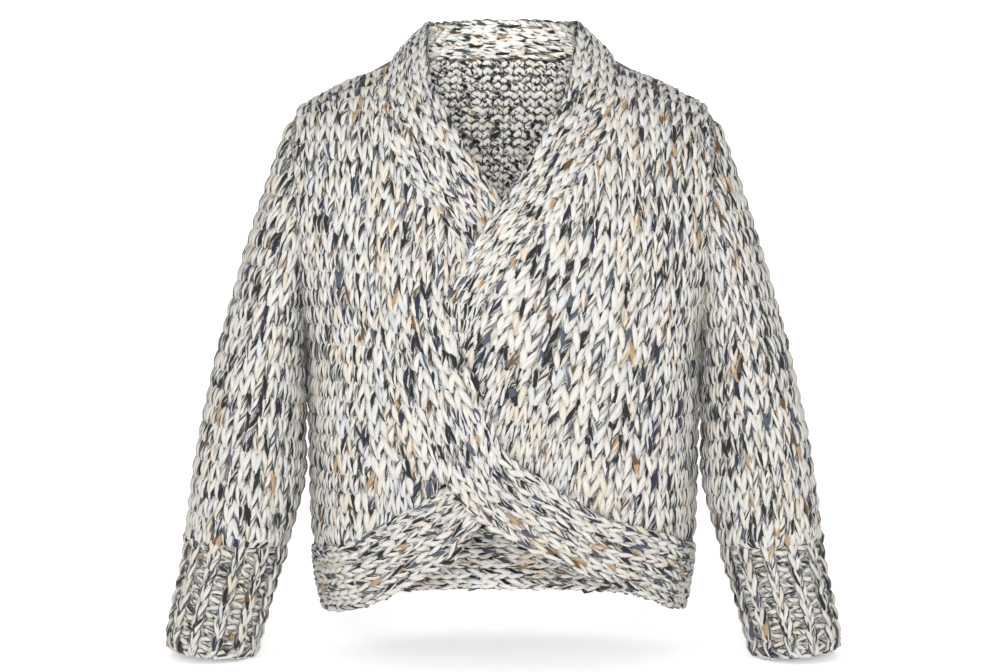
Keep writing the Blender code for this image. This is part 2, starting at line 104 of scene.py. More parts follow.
# Soft boxes to both sides and beside the camera, a soft top light and a bright room, as in a catalogue studio.
LIGHTS = (
    # name, place, aims at, size, watts
    ("key", (-1.5, -2.0, 1.0), (0, 0, -0.25), 1.2, 11.0),
    ("fill", (1.8, -2.0, 0.4), (0, 0, -0.25), 1.6, 6.0),
    ("front", (0.0, -2.7, 0.15), (0, 0, -0.25), 0.9, 68.0),
    ("top", (0.0, -0.2, 2.2), (0, 0, -0.25), 1.6, 6.0),
)
for name, place, target, size, watts in LIGHTS:
    lamp = bpy.data.lights.new(name, "AREA")
    lamp.size = size
    lamp.energy = watts
    lamp_object = bpy.data.objects.new(name, lamp)
    lamp_object.location = place
    lamp_object.rotation_euler = (Vector(target) - Vector(place)).to_track_quat("-Z", "Y").to_euler()
    bpy.context.scene.collection.objects.link(lamp_object)
room = bpy.data.worlds.new("room")
room.use_nodes = True
room.node_tree.nodes["Background"].inputs["Color"].default_value = (1, 1, 1, 1)
room.node_tree.nodes["Background"].inputs["Strength"].default_value = 0.48
bpy.context.scene.world = room
bpy.context.scene.view_settings.view_transform = "Standard"


# The yarn: bulky matt cream wool, plied loosely with a fine dark strand. Every few stitches the spinner
# let a tuft of charcoal, navy, brown or tan fibre in, which colours a stretch of yarn as long as a stitch.

CREAM = (0.535, 0.515, 0.475)
WARM_CREAM = (0.515, 0.46, 0.38)
COOL_CREAM = (0.47, 0.48, 0.485)
# Charcoal is the dark fibre's own colour, and also the colour of the painted shade on the strands' sides.
CHARCOAL_AND_SHADE = (0.012, 0.012, 0.014)
NAVY = (0.016, 0.022, 0.042)
SLATE = (0.060, 0.074, 0.100)
BROWN = (0.105, 0.058, 0.026)
TAN = (0.33, 0.22, 0.115)
YARN_MAP = "yarn"


class Value:
    """A socket that can be used in sums, each of which adds its Math node."""

    def __init__(self, build, socket):
        self.build, self.socket = build, socket

    def __add__(self, other):
        return self.build.node("ShaderNodeMath", {"operation": "ADD"}, {0: self, 1: other})

    def __mul__(self, other):
        return self.build.node("ShaderNodeMath", {"operation": "MULTIPLY"}, {0: self, 1: other})

    __radd__, __rmul__ = __add__, __mul__

    def wave(self):
        """The sine of this many turns."""
        return self.build.node("ShaderNodeMath", {"operation": "SINE"}, {0: self * (2 * math.pi)})


class Finish:
    """A material that is built node by node."""

    def __init__(self, name):
        self.material = bpy.data.materials.new(name)
        self.material.use_nodes = True
        self.tree = self.material.node_tree
        self.shader = self.tree.nodes["Principled BSDF"]

    def node(self, kind, settings=None, inputs=None, output=0):
        """Adds a node, sets it up, feeds it and returns one of its outputs."""
        made = self.tree.nodes.new(kind)
        for setting, value in (settings or {}).items():
            if setting == "stops":
                ramp = made.color_ramp
                while len(ramp.elements) < len(value):
                    ramp.elements.new(0.5)
                for element, (place, colour) in zip(ramp.elements, value):
                    element.position = place
                    element.color = (*colour, 1.0)
            elif setting == "interpolation":
                made.color_ramp.interpolation = value
            else:
                setattr(made, setting, value)
        for socket, value in (inputs or {}).items():
            self.feed(made.inputs[socket], value)
        return Value(self, made.outputs[output])

    def feed(self, socket, value):
        """Links a value to a socket, or sets the socket to a number or colour."""
        if isinstance(value, Value):
            self.tree.links.new(value.socket, socket)
        else:
            socket.default_value = value

    def mix(self, share, first, second, way="MIX"):
        """A colour between two colours, or the first with the second laid on it another way."""
        return self.node("ShaderNodeMix", {"data_type": "RGBA", "blend_type": way},
                         {0: share, 6: first, 7: second}, output=2)

    def ramp(self, factor, low, high, bottom=0.0, top=1.0):
        """A number that rises or falls between two levels of another number."""
        return self.node("ShaderNodeValToRGB", {"stops": ((low, (bottom,) * 3), (high, (top,) * 3))}, {0: factor})


SIDE_SHADE, INSIDE_SIDE_SHADE = 0.5, 0.1   # painted shade: how dark the sides of a strand are at the least, where the strands meet
INSIDE_PAINTED_LIGHT = 1.60      # painted light: the inside's cream is made lighter, because it is almost as bright as the front in the photo, though it gets less light
FAIREST = 0.9


def marled_yarn(name, painted_light=1.0, outline=SIDE_SHADE):
    """The yarn's finish. Its map's U goes round the strand, from its left side over its front, and V along it
    in stitches. Its second argument makes the cream lighter, as painted light, and its third sets how dark the
    painted shade on the sides of a strand is at the least."""
    strand = Finish(name)
    place = strand.node("ShaderNodeUVMap", {"uv_map": YARN_MAP})
    around = strand.node("ShaderNodeSeparateXYZ", None, {0: place})
    along = strand.node("ShaderNodeSeparateXYZ", None, {0: place}, output=1)

    def noise(x, y=0.0, scale=1.0, detail=1.0, roughness=0.5):
        where = strand.node("ShaderNodeCombineXYZ", None, {0: x, 1: y})
        return strand.node("ShaderNodeTexNoise", {"noise_dimensions": "2D"},
                           {"Vector": where, "Scale": scale, "Detail": detail, "Roughness": roughness})

    cool, cream, warm = (tuple(min(FAIREST, part * painted_light) for part in colour)
                         for colour in (COOL_CREAM, CREAM, WARM_CREAM))
    tint = strand.node("ShaderNodeValToRGB", {"stops": (
        (0.30, cool), (0.46, cream), (0.56, cream), (0.70, warm))}, {0: noise(along * 0.7 + 11.0)})
    fleck = strand.node("ShaderNodeValToRGB", {"interpolation": "CONSTANT", "stops": (
        (0.0, NAVY), (0.38, CHARCOAL_AND_SHADE), (0.50, SLATE), (0.535, CHARCOAL_AND_SHADE), (0.60, BROWN), (0.66, TAN))},
        {0: noise(along * 0.45 + 37.0)})
    fibre = noise(around * 9.0 + along * 14.0, along * 1.6, scale=2.2, detail=4.0, roughness=0.62)
    tuft = strand.ramp(
        noise(along * 2.4 + around * 1.3 + 71.0, around * 2.4, detail=2.0) + fibre * 0.3, 0.70, 0.76)
    ply = strand.ramp((around + along * 1.7).wave(), 0.90, 0.975, top=0.9) * strand.ramp(
        noise(along * 0.8 + 5.0), 0.42, 0.58, bottom=0.1)
    # Painted shade: the sides of each strand, where it lies against the next, turn towards charcoal, more in some
    # stretches than in others.
    crevice_shade = strand.ramp(around.wave(), 0.60 * outline, 0.70, bottom=1.0, top=0.0) * strand.ramp(
        noise(along * 1.3 + 23.0), 0.36, 0.60, bottom=outline)
    colour = strand.mix(ply, tint, (*CHARCOAL_AND_SHADE, 1.0))
    colour = strand.mix(tuft, colour, fleck)
    colour = strand.mix(0.70, colour, strand.ramp(fibre, 0.34, 0.56, bottom=0.62), "MULTIPLY")
    colour = strand.mix(crevice_shade, colour, (*CHARCOAL_AND_SHADE, 1.0))
    strand.feed(strand.shader.inputs["Base Color"], colour)
    strand.feed(strand.shader.inputs["Roughness"], fibre * 0.15 + 0.78)
    strand.shader.inputs["Specular IOR Level"].default_value = 0.22
    strand.shader.inputs["Sheen Weight"].default_value = 0.08
    strand.shader.inputs["Sheen Roughness"].default_value = 0.6
    strand.feed(strand.shader.inputs["Normal"], strand.node(
        "ShaderNodeBump", None, {"Strength": 0.55, "Distance": 0.0012, "Height": fibre}))
    return strand.material


outer_yarn = marled_yarn("marled_yarn")
# The inside's yarn is a lighter copy of the outside's: painted light.
inner_yarn = marled_yarn("marled_yarn_inside_painted_light", painted_light=INSIDE_PAINTED_LIGHT, outline=INSIDE_SIDE_SHADE)

# The same wool seen between the stitches: its flecks are the wool's own, and its darker tone is painted shade, for
# the stitches' shade that it lies in.
ground = Finish("shaded_ground_yarn")
ground_place = ground.node("ShaderNodeTexCoord", output=3)
ground_fibre = ground.node("ShaderNodeTexNoise", None,
                           {"Vector": ground_place, "Scale": 260.0, "Detail": 4.0, "Roughness": 0.6})
ground.feed(ground.shader.inputs["Base Color"], ground.node("ShaderNodeValToRGB", {"stops": (
    (0.38, (0.03, 0.03, 0.033)), (0.48, (0.20, 0.19, 0.175)), (0.62, (0.42, 0.40, 0.36)))}, {0: ground_fibre}))
ground.shader.inputs["Roughness"].default_value = 0.95
ground.shader.inputs["Specular IOR Level"].default_value = 0.1
ground.feed(ground.shader.inputs["Normal"], ground.node(
    "ShaderNodeBump", None, {"Strength": 0.6, "Distance": 0.001, "Height": ground_fibre}))


# The back panel, knitted in wool in stocking stitch, in one piece from the hem band to the shoulders. Its knit
# side faces out and its purl side shows inside the neck. Each panel is a thin cloth of the ground yarn, whose
# darker tone is painted shade, with every stitch of the yarn laid on it as a loop.

WALL_MIDDLE = 0.0022        # how far under the solid's outer surface the middle of the knitting lies
CLOTH_THICKNESS = 0.0010
STITCH_WIDTH = 0.0118
ROW_PITCH = 0.0188
YARN_RADIUS = 0.0034
YARN_FLATNESS = 0.86
STRAND_SIDES = 5
LOOP_DEPTH = 0.0022         # how far a stitch's legs come to the front, and its head and feet go to the back
RIM_ANGLE = 60.0            # a sharper turn between two of a solid's faces is the edge of its rim
FLAT_ANGLE, SQUARE_ANGLE = 40, 60   # how far two triangles that are joined to a quad may be from flat and square
MERGE = 0.00001
APRON = 0.018               # how far the columns and rows are set out past a panel's edge
EDGE_SHARE = 0.50           # a stitch whose middle lies within this share of its size past the edge is kept
OVERHANG = 0.0015           # how far the yarn of such a stitch may hang over the edge
WIDE_STITCH = 1.45          # where a column is this many stitches wide, it becomes two
NARROW_STITCH = 0.3         # a column that is narrower than this many stitches isn't knitted
SLIMMEST, STOUTEST = 0.85, 1.35   # a narrower stitch has thinner legs, and a wider one thicker
SIZE_SPREAD = 0.05          # how far the hand-knitted stitches vary in width and height,
LEAN_SPREAD = 0.07          # in their lean,
OPENING_SPREAD = 0.10       # in the distance between their legs
THICKNESS_SPREAD = 0.07     # and in the yarn's thickness
YARN_LENGTH = 400           # how many stitches of the marl's pattern there are
YARN_A_ROW = 61.7           # how far the pattern goes on from one row to the next
chance = np.random.default_rng(7)

# Half of each kind of stitch, from its foot to its head. The other half mirrors it. Columns: across in
# stitch widths, up in row pitches, out in loop depths, and the strand's thickness.
KNIT_LOOP = np.array((
    (-0.50, -0.70, -1.00, 0.72),
    (-0.12, -0.66, -0.45, 0.62),
    (-0.08, -0.34, 0.70, 0.80),
    (-0.18, 0.02, 1.05, 1.06),
    (-0.31, 0.38, 0.60, 1.04),
    (-0.34, 0.68, -0.45, 0.84),
    (0.00, 0.84, -1.00, 0.72),
))
PURL_LOOP = np.array((
    (-0.50, -0.22, 1.00, 1.05),
    (-0.32, -0.16, 0.75, 1.00),
    (-0.22, 0.05, 0.15, 0.90),
    (0.00, 0.24, 1.00, 1.05),
))


def skins(node):
    """A solid's outer and inner surfaces, each as bmesh, split off its rims and smoothed, the larger first."""
    whole = bmesh.new()
    whole.from_mesh(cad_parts[node].data)
    bmesh.ops.remove_doubles(whole, verts=whole.verts, dist=MERGE)
    whole.faces.ensure_lookup_table()
    seen, groups = set(), []
    for start in whole.faces:
        if start.index in seen:
            continue
        seen.add(start.index)
        group, queue = [], [start]
        while queue:
            face = queue.pop()
            group.append(face.index)
            for line in face.edges:
                if len(line.link_faces) != 2 or line.calc_face_angle() > math.radians(RIM_ANGLE):
                    continue
                for other in line.link_faces:
                    if other.index not in seen:
                        seen.add(other.index)
                        queue.append(other)
        groups.append(group)
    groups.sort(key=lambda group: -sum(whole.faces[i].calc_area() for i in group))
    surfaces = []
    for group in groups[:2]:
        keep = set(group)
        surface = whole.copy()
        surface.faces.ensure_lookup_table()
        spare = [face for face in surface.faces if face.index not in keep]
        bmesh.ops.delete(surface, geom=spare, context="FACES")
        bmesh.ops.join_triangles(surface, faces=surface.faces, angle_face_threshold=math.radians(FLAT_ANGLE),
                                 angle_shape_threshold=math.radians(SQUARE_ANGLE))
        surfaces.append(surface)
    whole.free()
    return surfaces


def smooth_piece(name, surface, levels=2):
    """A new piece from a surface, rounded by subdivision and with its place in its mesh."""
    mesh = bpy.data.meshes.new(name)
    surface.to_mesh(mesh)
    piece = bpy.data.objects.new(name, mesh)
    bpy.context.scene.collection.objects.link(piece)
    bpy.ops.object.select_all(action="DESELECT")
    piece.select_set(True)
    bpy.context.view_layer.objects.active = piece
    rounding = piece.modifiers.new("rounding", "SUBSURF")
    rounding.levels = rounding.render_levels = levels
    bpy.ops.object.modifier_apply(modifier=rounding.name)
    return piece


def trees_of(piece):
    """Two search trees of a piece's surface: as it is, and carried on past its edges by the apron."""
    net = bmesh.new()
    net.from_mesh(piece.data)
    points = [point.co.copy() for point in net.verts]
    faces = [[point.index for point in face.verts] for face in net.faces]
    own = BVHTree.FromPolygons(points, faces)
    outward = {}
    rim = [line for line in net.edges if line.is_boundary]
    for line in rim:
        first, second = line.verts
        way = (second.co - first.co).cross(line.link_faces[0].normal).normalized()
        if way.dot(first.co - line.link_faces[0].calc_center_median()) < 0:
            way.negate()
        for point in line.verts:
            outward[point.index] = outward.get(point.index, Vector()) + way
    ends = {}
    for index, way in outward.items():
        ends[index] = len(points)
        points.append(points[index] + way.normalized() * APRON)
    faces += [[line.verts[0].index, line.verts[1].index, ends[line.verts[1].index], ends[line.verts[0].index]]
              for line in rim]
    net.free()
    return own, BVHTree.FromPolygons(points, faces)


def ground_cloth(name, node, depth=WALL_MIDDLE, thickness=CLOTH_THICKNESS):
    """The thin cloth in the middle of a panel's wall, and the trees of the wall's outer surface."""
    full = smooth_piece(name + "_surface", skins(node)[0])
    trees = trees_of(full)
    bpy.data.objects.remove(full)
    piece = smooth_piece(name, skins(node)[0], levels=1)
    mesh = piece.data
    mesh.update()
    normals = np.array([v.normal[:] for v in mesh.vertices])
    points = np.array([v.co[:] for v in mesh.vertices]) - normals * (depth - thickness / 2)
    mesh.vertices.foreach_set("co", points.ravel())
    mesh.update()
    wall = piece.modifiers.new("wall", "SOLIDIFY")
    wall.thickness = thickness
    wall.offset = -1.0
    bpy.ops.object.modifier_apply(modifier=wall.name)
    mesh.shade_smooth()
    mesh.materials.append(ground.material)
    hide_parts(node)
    return piece, trees


def nearest(tree, points):
    """The closest places on a surface to some points, and its normals there."""
    places, normals = np.empty_like(points), np.empty_like(points)
    for i, point in enumerate(points):
        place, normal, _, _ = tree.find_nearest(point)
        places[i], normals[i] = place, normal
    return places, normals


def unit(vectors):
    """The same directions with a length of one."""
    return vectors / np.linalg.norm(vectors, axis=-1, keepdims=True)


def sizes(vectors):
    """The lengths of vectors, one number each."""
    return np.linalg.norm(vectors, axis=-1)


def mirrored(half):
    """A whole stitch from its half."""
    return np.vstack([half, half[-2::-1] * np.array([-1, 1, 1, 1])])


def lay_stitches(name, trees, lattice, line, depth=WALL_MIDDLE, facing=1.0, loop_depth=LOOP_DEPTH,
                 radius=YARN_RADIUS, columns=None, low=None, wool=outer_yarn):
    """Lays a loop of yarn in each cell of a lattice of points, whose rows go up the columns of stitches.

    depth is how deep the middle of the stitches lies and facing is -1 where they face inwards. columns picks
    the columns that are laid, and cells below low stay bare.
    """
    tree = trees[0]
    centres = (lattice[:-1, :-1] + lattice[:-1, 1:] + lattice[1:, :-1] + lattice[1:, 1:]) / 4
    sides = (lattice[:-1, 1:] - lattice[:-1, :-1] + lattice[1:, 1:] - lattice[1:, :-1]) / 2
    ways = (lattice[1:, :-1] - lattice[:-1, :-1] + lattice[1:, 1:] - lattice[:-1, 1:]) / 2
    full = ~np.isnan(centres[..., 0])
    if columns is not None:
        full[:, ~columns] = False
    if low is not None:
        full &= np.nan_to_num(centres[..., 2], nan=-9.0) > low
    row, column = np.nonzero(full)
    centres, sides, ways = centres[row, column], sides[row, column], ways[row, column]
    usual = np.median(sizes(sides)[sizes(sides) > MERGE])
    wide = sizes(sides) > usual * WIDE_STITCH
    quarter = sides[wide] / 4
    centres = np.concatenate([centres[~wide], centres[wide] - quarter, centres[wide] + quarter])
    sides = np.concatenate([sides[~wide], sides[wide] / 2, sides[wide] / 2])
    ways = np.concatenate([ways[~wide], ways[wide], ways[wide]])
    starts = column + row * YARN_A_ROW + chance.uniform(0, YARN_LENGTH)
    starts = np.concatenate([starts[~wide], starts[wide], starts[wide] + 0.5])
    places, normals = nearest(tree, centres)
    astray = centres - places
    kept = ((abs(np.sum(astray * sides, 1)) < EDGE_SHARE * sizes(sides) ** 2)
            & (abs(np.sum(astray * ways, 1)) < EDGE_SHARE * sizes(ways) ** 2)
            & (sizes(sides) > usual * NARROW_STITCH))
    places, normals, sides, ways, starts = (part[kept] for part in (places, normals, sides, ways, starts))
    count = len(places)
    sides = sides * (1 + chance.normal(0, SIZE_SPREAD, count))[:, None]
    ways = ways * (1 + chance.normal(0, SIZE_SPREAD, count))[:, None]
    lean = chance.normal(0, LEAN_SPREAD, count)[:, None]
    sides, ways = sides - ways * lean * 0.6, ways + sides * lean * 1.6
    opening = 1 + chance.normal(0, OPENING_SPREAD, (count, 1, 1))
    radii = radius * (1 + chance.normal(0, THICKNESS_SPREAD, count))
    radii = radii * np.clip(sizes(sides) / usual, SLIMMEST, STOUTEST)
    spots = places[:, None] + sides[:, None] * line[None, :, :1] * opening + ways[:, None] * line[None, :, 1:2]
    spots = spots.reshape(-1, 3)
    on, out = nearest(tree, spots)
    astray = spots - on
    astray -= np.sum(astray * out, 1, keepdims=True) * out
    spots = on + astray * np.minimum(1, OVERHANG / np.maximum(sizes(astray), 1e-9))[:, None]
    steps = len(line)
    out = out.reshape(count, steps, 3)
    path = spots.reshape(count, steps, 3) + out * (facing * line[None, :, 2:3] * loop_depth - depth)
    tangent = unit(np.gradient(path, axis=1) + 1e-9)
    beside = unit(np.cross(tangent, out * facing))
    outward = np.cross(beside, tangent)
    angles = np.linspace(0, 2 * math.pi, STRAND_SIDES, endpoint=False)
    size = radii[:, None, None, None] * line[None, :, None, 3:]
    rings = (path[:, :, None] + size * (beside[:, :, None] * np.cos(angles)[None, None, :, None]
             + outward[:, :, None] * (np.sin(angles) * YARN_FLATNESS)[None, None, :, None]))
    return yarn_mesh(name, rings, starts, wool)


STRIP_SHARE = 0.86          # how much of a strand's cell of the baked picture its own strip takes
CAP_PLACES = (0.93, 0.10), (0.93, 0.75)   # where in the cell its two end caps lie
CAP_SIZE = 0.02


def yarn_mesh(name, rings, starts, wool):
    """A piece of short strands from their rings of points, with the yarn map and a strip map for baking."""
    count, steps, around_count, _ = rings.shape
    base = np.arange(count * steps * around_count).reshape(count, steps, around_count)
    beyond = np.roll(base, -1, axis=2)
    quads = np.stack([base[:, :-1], beyond[:, :-1], beyond[:, 1:], base[:, 1:]], -1).reshape(-1, 4)
    caps = np.concatenate([base[:, 0, ::-1], base[:, -1]], 0)
    mesh = bpy.data.meshes.new(name)
    mesh.vertices.add(count * steps * around_count)
    mesh.vertices.foreach_set("co", rings.ravel())
    mesh.loops.add(quads.size + caps.size)
    mesh.loops.foreach_set("vertex_index", np.concatenate([quads.ravel(), caps.ravel()]))
    totals = np.concatenate([np.full(len(quads), 4), np.full(len(caps), around_count)])
    mesh.polygons.add(len(totals))
    mesh.polygons.foreach_set("loop_start", np.concatenate([[0], np.cumsum(totals)[:-1]]))
    mesh.update(calc_edges=True)
    mesh.shade_smooth()
    # The caps take the colour of their ends.
    shape = (count, steps - 1, around_count)
    u = np.broadcast_to(np.arange(around_count) / around_count, shape)
    v = np.broadcast_to((np.arange(steps - 1) / (steps - 1))[None, :, None], shape)
    du, dv = 1 / around_count, 1 / (steps - 1)
    squares = np.stack([np.stack([u, v], -1), np.stack([u + du, v], -1),
                        np.stack([u + du, v + dv], -1), np.stack([u, v + dv], -1)], -2)
    begin = np.zeros((count, 1, 1, 1, 2))
    begin[..., 1] = starts[:, None, None, None]
    trip = np.arange(around_count) / around_count
    cap = np.stack([np.stack(np.broadcast_arrays(trip[::-1], starts[:, None]), -1),
                    np.stack(np.broadcast_arrays(trip, starts[:, None] + 1), -1)], 0)
    yarn_map = mesh.uv_layers.new(name=YARN_MAP)
    yarn_map.data.foreach_set("uv", np.concatenate([
        (squares + begin).reshape(-1, 2), cap.reshape(-1, 2)]).ravel())
    # Each strand has its own cell of the picture that the finish is baked to.
    across = math.ceil(math.sqrt(count))
    cell = 1 / across
    corner = np.stack([np.arange(count) % across, np.arange(count) // across], -1) * cell
    squares = squares * STRIP_SHARE * cell + corner[:, None, None, None]
    dot = np.stack([np.cos(2 * math.pi * trip), np.sin(2 * math.pi * trip)], -1) * CAP_SIZE * cell
    first, last = (corner[:, None] + np.array(place) * cell for place in CAP_PLACES)
    cap = np.stack([first + dot[::-1][None], last + dot[None]], 0)
    bake_map = mesh.uv_layers.new(name="OFBake")
    bake_map.data.foreach_set("uv", np.concatenate([squares.reshape(-1, 2), cap.reshape(-1, 2)]).ravel())
    mesh.materials.append(wool)
    piece = bpy.data.objects.new(name, mesh)
    bpy.context.scene.collection.objects.link(piece)
    return piece


def cast(tree, origin, way):
    """Where a line from a point meets a surface, or None."""
    place, _, _, _ = tree.ray_cast(Vector(origin), Vector(way))
    return None if place is None else np.array(place)


LATTICE_HEIGHT = -0.160     # where the columns of stitches are set out, round the chest
STRAIGHT_ABOVE = -0.115     # columns go straight up from here, and spread with the figure below it
RING_TURN = 89.5            # how far round from the middle the panel is scanned
RING_STEPS = 900
RAY_LENGTH = 0.4            # further out than any part of the panel
SCAN_STEP = 0.003
WIDEST_STEP = 0.030         # a longer step up a column is a hole in the panel
SCAN_LOW, SCAN_HIGH = -0.60, 0.07
SHORTEST_COLUMN = 3         # steps
SIDE_COLUMNS = 2            # further columns at each side, where the panel reaches further round lower down
SHOULDER_STEPS = 20         # steps that a column may still go over the shoulder, where it lies flat


def torso_lattice(panel, facing, lean, trees_round):
    """The corners of a front or back panel's stitches, column by column from the bottom up.

    panel is the surface that they lie on, and trees_round are those that the columns are counted on, round the
    chest. lean shifts a column sideways from its place there, by height.
    """
    turns, outline = [], []
    for turn in np.linspace(-RING_TURN, RING_TURN, RING_STEPS):
        way = np.array([math.sin(math.radians(turn)), facing * math.cos(math.radians(turn)), 0])
        hits = [cast(tree, way * RAY_LENGTH + np.array([0, 0, LATTICE_HEIGHT]), -way) for tree in trees_round]
        hits = [hit for hit in hits if hit is not None]
        if hits:
            turns.append(turn)
            outline.append(hits[0])
    turns, outline = np.array(turns), np.array(outline)
    along_ring = np.concatenate([[0], np.cumsum(sizes(np.diff(outline, axis=0)))])
    along_ring -= np.interp(0.0, turns, along_ring)
    past = SIDE_COLUMNS * STITCH_WIDTH
    further = math.degrees(past / abs(outline[0][0]))
    turns = np.concatenate([[turns[0] - further], turns, [turns[-1] + further]])
    along_ring = np.concatenate([[along_ring[0] - past], along_ring, [along_ring[-1] + past]])
    outline = np.concatenate([outline[:1], outline, outline[-1:]])
    first = math.floor(along_ring[0] / STITCH_WIDTH)
    last = math.ceil(along_ring[-1] / STITCH_WIDTH)
    levels = np.arange(SCAN_LOW, SCAN_HIGH, ROW_PITCH)
    lattice = np.full((len(levels), last - first + 1, 3), np.nan)
    for k in range(first, last + 1):
        x_home = float(np.interp(k * STITCH_WIDTH, along_ring, outline[:, 0]))
        turn_home = float(np.interp(k * STITCH_WIDTH, along_ring, turns))
        run, x_top = [], None
        for height in np.arange(SCAN_LOW, SCAN_HIGH, SCAN_STEP):
            if height <= STRAIGHT_ABOVE:
                shift = lean(x_home, height)
                turn = math.radians(turn_home + float(np.interp(x_home + shift, outline[:, 0], turns)
                                                      - np.interp(x_home, outline[:, 0], turns)))
                way = np.array([math.sin(turn), facing * math.cos(turn), 0])
                spot = cast(panel, way * RAY_LENGTH + np.array([0, 0, height]), -way)
                x_top = spot[0] if spot is not None else x_top
            elif x_top is not None:
                spot = cast(panel, (x_top, facing * RAY_LENGTH, height), (0, -facing, 0))
            else:
                spot = None
            if spot is not None:
                run.append(spot)
        if len(run) < SHORTEST_COLUMN:
            continue
        for _ in range(SHOULDER_STEPS):
            ahead = run[-1] + unit(run[-1] - run[-2]) * SCAN_STEP
            place = np.array(panel.find_nearest(ahead)[0])
            if sizes(place - ahead) > SCAN_STEP / 2:
                break
            run.append(place)
        run = np.array(run)
        steps = sizes(np.diff(run, axis=0))
        reach = run[0][2] + np.concatenate([[0], np.cumsum(steps)])
        for r, level in enumerate(levels):
            i = int(np.searchsorted(reach, level))
            if 0 < i < len(reach) and steps[i - 1] < WIDEST_STEP:
                lattice[r, k - first] = [np.interp(level, reach, axis) for axis in run.T]
    return lattice


def half_rows(lattice):
    """A lattice with twice the rows, for the purl side, where the head and the feet of a stitch each show."""
    finer = np.full((2 * len(lattice) - 1, *lattice.shape[1:]), np.nan)
    finer[::2], finer[1::2] = lattice, (lattice[:-1] + lattice[1:]) / 2
    return finer


def upright(x, height):
    """No lean."""
    return 0.0


def dress(node):
    """Puts a panel's cloth and stitches on the body.

    The flat cuts and areas listed with the fronts and the bands are not used. area is that of the cloth itself,
    half its surface, as it hangs. flat's sides were measured on the bands and cuffs, and are estimates on the
    back, the fronts and the sleeves.
    """
    for piece in [cloths[node], *laid[node]]:
        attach(piece, "root")


cloths, laid, surfaces = {}, {}, {}
for panel in ("back", "right_front", "left_front"):
    cloths[panel], surfaces[panel] = ground_cloth(panel + "_cloth", panel)

PURL_RADIUS = 0.0040
PURL_DEPTH = 0.0036         # how deep the middle of the bumps on the inside lies
PURL_LOOP_DEPTH = 0.0010
PURL_ABOVE = -0.26          # the bumps are laid where the inside shows, from the chest up

knit, purl = mirrored(KNIT_LOOP), mirrored(PURL_LOOP)
lattice = torso_lattice(surfaces["back"][1], 1, upright, [surfaces["back"][1]])
laid["back"] = [
    lay_stitches("back_stitches", surfaces["back"], lattice, knit),
    lay_stitches("back_bumps", surfaces["back"], half_rows(lattice), purl, depth=PURL_DEPTH, facing=-1.0,
                 loop_depth=PURL_LOOP_DEPTH, radius=PURL_RADIUS, low=PURL_ABOVE, wool=inner_yarn)]
dress("back")


# The two fronts, knitted like the back and joined to it at the shoulders and sides. Their columns run
# straight at the sides, and lean towards the crossing beside the bands.

LEAN_FROM = 0.185           # no column leans that starts further out than this
LEAN_WIDTH = 0.125          # a column that starts this much further in leans by the whole amount below
LEAN_POWER = 1.4
MOST_LEAN = 1.4             # and no column leans by more than this many times that amount


def right_lean(x, height):
    """How far a column of the right front has moved towards the crossing."""
    share = min(MOST_LEAN, max(0.0, (x + LEAN_FROM) / LEAN_WIDTH) ** LEAN_POWER)
    return share * float(np.interp(height, (-0.60, -0.40, -0.32, -0.218), (0.115, 0.075, 0.038, 0.0)))


def left_lean(x, height):
    """How far a column of the left front has moved towards the crossing."""
    share = min(MOST_LEAN, max(0.0, (LEAN_FROM - x) / LEAN_WIDTH) ** LEAN_POWER)
    return -share * float(np.interp(height, (-0.45, -0.30, -0.20, -0.115), (0.085, 0.050, 0.024, 0.0)))


for panel, lean, flat, area in (("right_front", right_lean, (0.33, 0.52), 0.0888),
                                ("left_front", left_lean, (0.36, 0.53), 0.1045)):
    both = [surfaces["left_front"][1], surfaces["right_front"][1]]
    lattice = torso_lattice(surfaces[panel][1], -1, lean, both)
    laid[panel] = [lay_stitches(panel + "_stitches", surfaces[panel], lattice, knit)]
    dress(panel)


# The sleeves, knitted as tubes down from the armholes, in stocking stitch. Their columns run straight down
# the outer side of the arm, and the tube narrows at the seam under the arm.

RING_RAYS = 120
SLEEVE_REACH = 1.5          # the rows are set out this many times the sleeve's length, past the shoulder
SLEEVE_EDGES = 24           # column edges to each side of the outer line, past the seam


def rims(surface):
    """The closed lines of points round a surface's edges."""
    left = {line for line in surface.edges if line.is_boundary}
    loops = []
    while left:
        line = left.pop()
        first, point = line.verts
        loop = [first, point]
        while point is not first:
            line = next(other for other in point.link_edges if other in left)
            left.discard(line)
            point = line.other_vert(point)
            loop.append(point)
        loops.append(np.array([corner.co[:] for corner in loop[:-1]]))
    return loops


def tube_frame(node, side):
    """A tube's lower and upper middle, its axis, and its outward and forward directions."""
    ends = sorted((loop.mean(axis=0) for loop in rims(skins(node)[0])), key=lambda middle: middle[2])
    axis = unit(ends[1] - ends[0])
    out = np.array([side, 0.0, 0.0])
    out = unit(out - axis * (out @ axis))
    return ends[0], ends[1], axis, out, np.cross(axis, out) * -side


def ring_at(tree, middle, out, front):
    """Points round a tube from its outer side both ways, as far as it goes, with their distances."""
    angles = np.linspace(-math.pi, math.pi, RING_RAYS + 1)
    points = [cast(tree, middle, math.cos(angle) * out + math.sin(angle) * front) for angle in angles]
    centre = RING_RAYS // 2
    if points[centre] is None:
        return None
    low, high = centre, centre
    while low > 0 and points[low - 1] is not None:
        low -= 1
    while high < RING_RAYS and points[high + 1] is not None:
        high += 1
    ring = np.array(points[low:high + 1])
    along_ring = np.concatenate([[0], np.cumsum(sizes(np.diff(ring, axis=0)))])
    return ring, along_ring - along_ring[centre - low]


